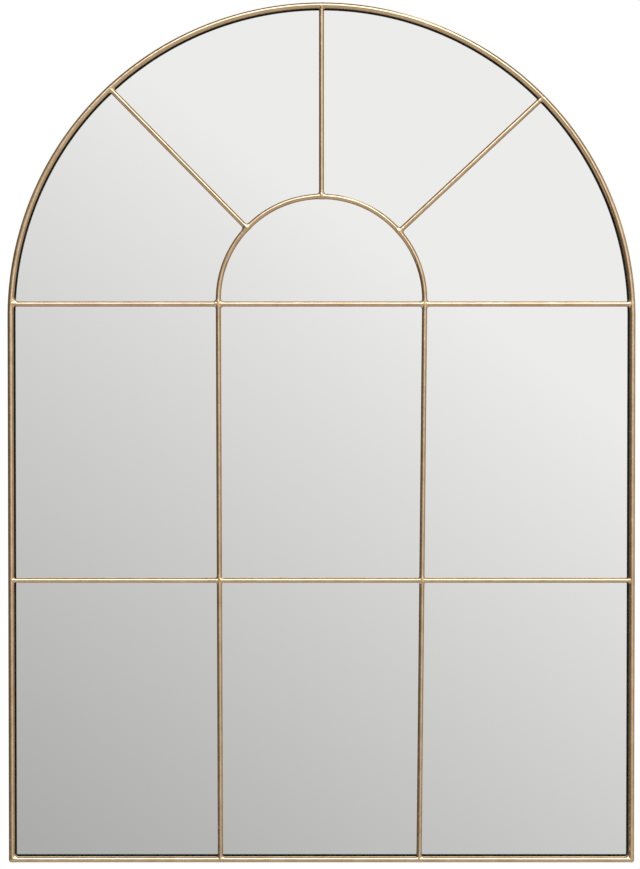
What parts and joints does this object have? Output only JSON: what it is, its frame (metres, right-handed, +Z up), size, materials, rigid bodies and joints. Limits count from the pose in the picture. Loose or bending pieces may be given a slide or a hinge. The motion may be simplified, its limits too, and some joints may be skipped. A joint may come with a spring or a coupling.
{
  "type": "arched wall mirror",
  "caption": "Tall wall mirror with a round top: a welded window frame of thin gold rod with bars, an inner arch and spokes over one sheet of mirror, hung on swinging rings.",
  "frame": {"origin": "middle of the whole mirror: centred left to right, midway between the wall and the front of the rails (10.25 mm in front of the wall), and midway up (430 mm above the underside of the bottom rail)", "axes": "+X to the right as seen from the front, +Y back to the wall, +Z up; the mirror faces -Y"},
  "size_m": [0.628, 0.0205, 0.8599],
  "materials": {
    "satin_gold": "satin gold paint on steel",
    "mirror": "silvered glass",
    "black_board": "black fibre board",
    "foam_tape": "white foam",
    "zinc_steel": "bright zinc plate",
    "rubber": "matte"
  },
  "bodies": {
    "mirror": {"arch_rail": "satin_gold", "back_board": "black_board", "bottom_rail": "satin_gold", "centre_spoke": "satin_gold", "centre_tape": "foam_tape", "inner_arch": "satin_gold", "left_hanger_screws": "zinc_steel", "left_hanger_strap": "zinc_steel", "left_lower_bar": "satin_gold", "left_mid_bar": "satin_gold", "left_spoke": "satin_gold", "left_tape": "foam_tape", "left_wall_bumper": "rubber", "lower_cross_bar": "satin_gold", "mirror_glass": "mirror", "retaining_tab_01": "satin_gold", "retaining_tab_02": "satin_gold", "retaining_tab_03": "satin_gold", "retaining_tab_04": "satin_gold", "retaining_tab_05": "satin_gold", "retaining_tab_06": "satin_gold", "retaining_tab_07": "satin_gold", "retaining_tab_08": "satin_gold", "retaining_tab_09": "satin_gold", "retaining_tab_10": "satin_gold", "retaining_tab_11": "satin_gold", "retaining_tab_12": "satin_gold", "retaining_tab_13": "satin_gold", "retaining_tab_14": "satin_gold", "right_hanger_screws": "zinc_steel", "right_hanger_strap": "zinc_steel", "right_lower_bar": "satin_gold", "right_mid_bar": "satin_gold", "right_spoke": "satin_gold", "right_tape": "foam_tape", "right_wall_bumper": "rubber", "upper_cross_bar": "satin_gold"},
    "left_ring": {"left_hanging_ring": "zinc_steel"},
    "right_ring": {"right_hanging_ring": "zinc_steel"}
  },
  "joints": [
    {"name": "left_ring_swing", "type": "hinge", "parent": "mirror", "child": "left_ring", "pos_m": [-0.2, 0.0074, 0.19945], "axis": [-1, 0, 0], "range_deg": [0, 180]},
    {"name": "right_ring_swing", "type": "hinge", "parent": "mirror", "child": "right_ring", "pos_m": [0.2, 0.0074, 0.19945], "axis": [-1, 0, 0], "range_deg": [0, 180]}
  ]
}
